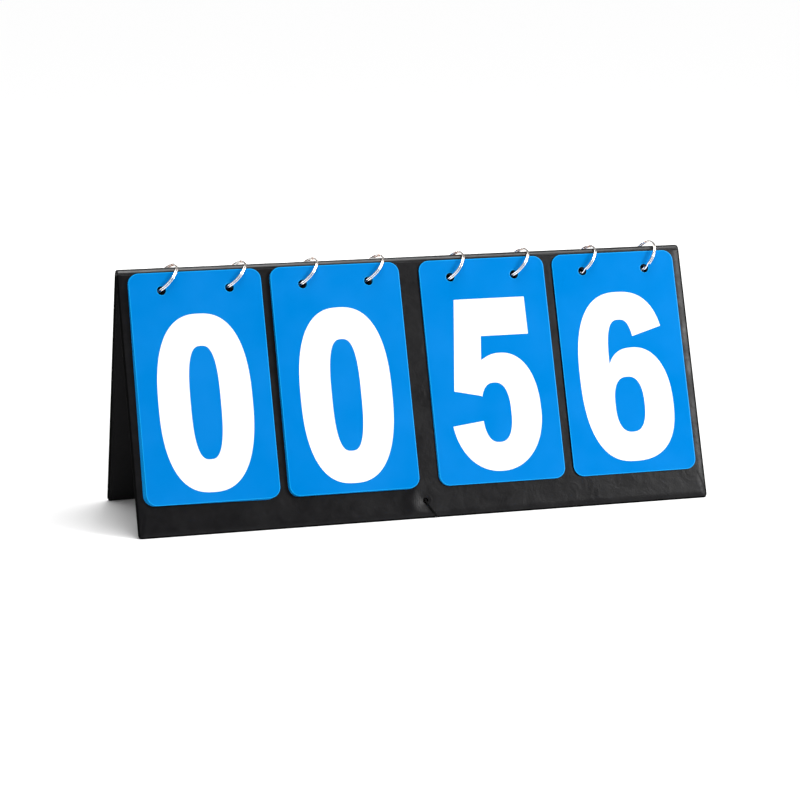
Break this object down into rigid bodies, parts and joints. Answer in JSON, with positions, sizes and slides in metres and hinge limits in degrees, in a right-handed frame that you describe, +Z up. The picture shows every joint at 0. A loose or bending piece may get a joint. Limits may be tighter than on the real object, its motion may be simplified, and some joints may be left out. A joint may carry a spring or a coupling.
{
  "type": "tabletop flip scoreboard",
  "caption": "Tent of two hinged black covered boards with four piles of blue numbered flip cards on split rings over the ridge, and a spacer cord between the feet.",
  "frame": {"origin": "on the table, in the middle under the open tent", "axes": "+Z up, +X to the right of someone reading the front cards, so the front slope faces -Y"},
  "size_m": [0.36, 0.112, 0.1561],
  "materials": {
    "leatherette": "satin black grained leatherette",
    "lining": "matt black lining paper",
    "grey_board": "raw grey board",
    "blue_card": "semi-gloss bright blue plastic card",
    "white_ink": "white printed numeral",
    "nickel_wire": "bright nickel plated steel wire",
    "cord": "fine black twisted cord"
  },
  "bodies": {
    "front_panel": {"front_cover": "leatherette", "front_board": "grey_board", "front_lining": "lining", "spine_strip": "leatherette", "spacer_cord": "cord"},
    "back_panel": {"back_cover": "leatherette", "back_board": "grey_board", "back_lining": "lining"},
    "home_tens_pile": {"home_tens_card_1": "blue_card", "home_tens_card_2": "blue_card", "home_tens_card_3": "blue_card", "home_tens_card_4": "blue_card", "home_tens_card_5": "blue_card", "home_tens_card_6": "blue_card", "home_tens_card_7": "blue_card", "home_tens_card_8": "blue_card", "home_tens_card_9": "blue_card"},
    "home_tens_top": {"home_tens_card_0": "blue_card"},
    "home_units_pile": {"home_units_card_1": "blue_card", "home_units_card_2": "blue_card", "home_units_card_3": "blue_card", "home_units_card_4": "blue_card", "home_units_card_5": "blue_card", "home_units_card_6": "blue_card", "home_units_card_7": "blue_card", "home_units_card_8": "blue_card", "home_units_card_9": "blue_card"},
    "home_units_top": {"home_units_card_0": "blue_card"},
    "guest_tens_pile": {"guest_tens_card_6": "blue_card", "guest_tens_card_7": "blue_card", "guest_tens_card_8": "blue_card", "guest_tens_card_9": "blue_card"},
    "guest_tens_top": {"guest_tens_card_5": "blue_card"},
    "guest_tens_back_pile": {"guest_tens_card_0": "blue_card", "guest_tens_card_1": "blue_card", "guest_tens_card_2": "blue_card", "guest_tens_card_3": "blue_card"},
    "guest_tens_back_top": {"guest_tens_card_4": "blue_card"},
    "guest_units_pile": {"guest_units_card_7": "blue_card", "guest_units_card_8": "blue_card", "guest_units_card_9": "blue_card"},
    "guest_units_top": {"guest_units_card_6": "blue_card"},
    "guest_units_back_pile": {"guest_units_card_0": "blue_card", "guest_units_card_1": "blue_card", "guest_units_card_2": "blue_card", "guest_units_card_3": "blue_card", "guest_units_card_4": "blue_card"},
    "guest_units_back_top": {"guest_units_card_5": "blue_card"},
    "ring_1": {"ring_1": "nickel_wire"},
    "ring_2": {"ring_2": "nickel_wire"},
    "ring_3": {"ring_3": "nickel_wire"},
    "ring_4": {"ring_4": "nickel_wire"},
    "ring_5": {"ring_5": "nickel_wire"},
    "ring_6": {"ring_6": "nickel_wire"},
    "ring_7": {"ring_7": "nickel_wire"},
    "ring_8": {"ring_8": "nickel_wire"}
  },
  "joints": [
    {"name": "tent_fold", "type": "hinge", "parent": "front_panel", "child": "back_panel", "pos_m": [0, 0, 0.14892], "axis": [-1, 0, 0], "range_deg": [0, 37], "deforming": ["spine_strip", "spacer_cord", "ring_1", "ring_2", "ring_3", "ring_4", "ring_5", "ring_6", "ring_7", "ring_8"]},
    {"name": "home_tens_pile_flip", "type": "hinge", "parent": "front_panel", "child": "home_tens_pile", "pos_m": [0, 0, 0.16484], "axis": [1, 0, 0], "range_deg": [-321.9, 0], "deforming": ["ring_1", "ring_2"]},
    {"name": "home_tens_top_flip", "type": "hinge", "parent": "home_tens_pile", "child": "home_tens_top", "pos_m": [0, 0, 0.16484], "axis": [-1, 0, 0], "range_deg": [0, 321.9], "deforming": ["ring_1", "ring_2"]},
    {"name": "home_units_pile_flip", "type": "hinge", "parent": "front_panel", "child": "home_units_pile", "pos_m": [0, 0, 0.16484], "axis": [1, 0, 0], "range_deg": [-321.9, 0], "deforming": ["ring_3", "ring_4"]},
    {"name": "home_units_top_flip", "type": "hinge", "parent": "home_units_pile", "child": "home_units_top", "pos_m": [0, 0, 0.16484], "axis": [-1, 0, 0], "range_deg": [0, 321.9], "deforming": ["ring_3", "ring_4"]},
    {"name": "guest_tens_pile_flip", "type": "hinge", "parent": "front_panel", "child": "guest_tens_pile", "pos_m": [0, 0, 0.16484], "axis": [1, 0, 0], "range_deg": [-321.9, 0], "deforming": ["ring_5", "ring_6"]},
    {"name": "guest_tens_top_flip", "type": "hinge", "parent": "guest_tens_pile", "child": "guest_tens_top", "pos_m": [0, 0, 0.16484], "axis": [-1, 0, 0], "range_deg": [0, 321.9], "deforming": ["ring_5", "ring_6"]},
    {"name": "guest_tens_back_pile_flip", "type": "hinge", "parent": "back_panel", "child": "guest_tens_back_pile", "pos_m": [0, 0, 0.16484], "axis": [-1, 0, 0], "range_deg": [-321.9, 0], "deforming": ["ring_5", "ring_6"]},
    {"name": "guest_tens_back_top_flip", "type": "hinge", "parent": "guest_tens_back_pile", "child": "guest_tens_back_top", "pos_m": [0, 0, 0.16484], "axis": [1, 0, 0], "range_deg": [0, 321.9], "deforming": ["ring_5", "ring_6"]},
    {"name": "guest_units_pile_flip", "type": "hinge", "parent": "front_panel", "child": "guest_units_pile", "pos_m": [0, 0, 0.16484], "axis": [1, 0, 0], "range_deg": [-321.9, 0], "deforming": ["ring_7", "ring_8"]},
    {"name": "guest_units_top_flip", "type": "hinge", "parent": "guest_units_pile", "child": "guest_units_top", "pos_m": [0, 0, 0.16484], "axis": [-1, 0, 0], "range_deg": [0, 321.9], "deforming": ["ring_7", "ring_8"]},
    {"name": "guest_units_back_pile_flip", "type": "hinge", "parent": "back_panel", "child": "guest_units_back_pile", "pos_m": [0, 0, 0.16484], "axis": [-1, 0, 0], "range_deg": [-321.9, 0], "deforming": ["ring_7", "ring_8"]},
    {"name": "guest_units_back_top_flip", "type": "hinge", "parent": "guest_units_back_pile", "child": "guest_units_back_top", "pos_m": [0, 0, 0.16484], "axis": [1, 0, 0], "range_deg": [0, 321.9], "deforming": ["ring_7", "ring_8"]},
    {"name": "ring_1_spin", "type": "hinge", "parent": "front_panel", "child": "ring_1", "pos_m": [-0.1509, 0, 0.14574], "axis": [0.7202, 0.127, -0.682], "continuous": true},
    {"name": "ring_2_spin", "type": "hinge", "parent": "front_panel", "child": "ring_2", "pos_m": [-0.10914, 0, 0.14607], "axis": [0.6964, 0.1228, -0.7071], "continuous": true},
    {"name": "ring_3_spin", "type": "hinge", "parent": "front_panel", "child": "ring_3", "pos_m": [-0.0643, 0, 0.14574], "axis": [0.7202, 0.127, -0.682], "continuous": true},
    {"name": "ring_4_spin", "type": "hinge", "parent": "front_panel", "child": "ring_4", "pos_m": [-0.0227, 0, 0.14598], "axis": [0.7084, 0.1249, -0.6947], "continuous": true},
    {"name": "ring_5_spin", "type": "hinge", "parent": "front_panel", "child": "ring_5", "pos_m": [0.02937, 0, 0.14509], "axis": [0.776, 0.1368, -0.6157], "continuous": true},
    {"name": "ring_6_spin", "type": "hinge", "parent": "front_panel", "child": "ring_6", "pos_m": [0.07129, 0, 0.14552], "axis": [0.7432, 0.1311, -0.6561], "continuous": true},
    {"name": "ring_7_spin", "type": "hinge", "parent": "front_panel", "child": "ring_7", "pos_m": [0.11607, 0, 0.14509], "axis": [0.776, 0.1368, -0.6157], "continuous": true},
    {"name": "ring_8_spin", "type": "hinge", "parent": "front_panel", "child": "ring_8", "pos_m": [0.15663, 0, 0.14583], "axis": [0.8441, 0.1488, -0.515], "continuous": true}
  ]
}
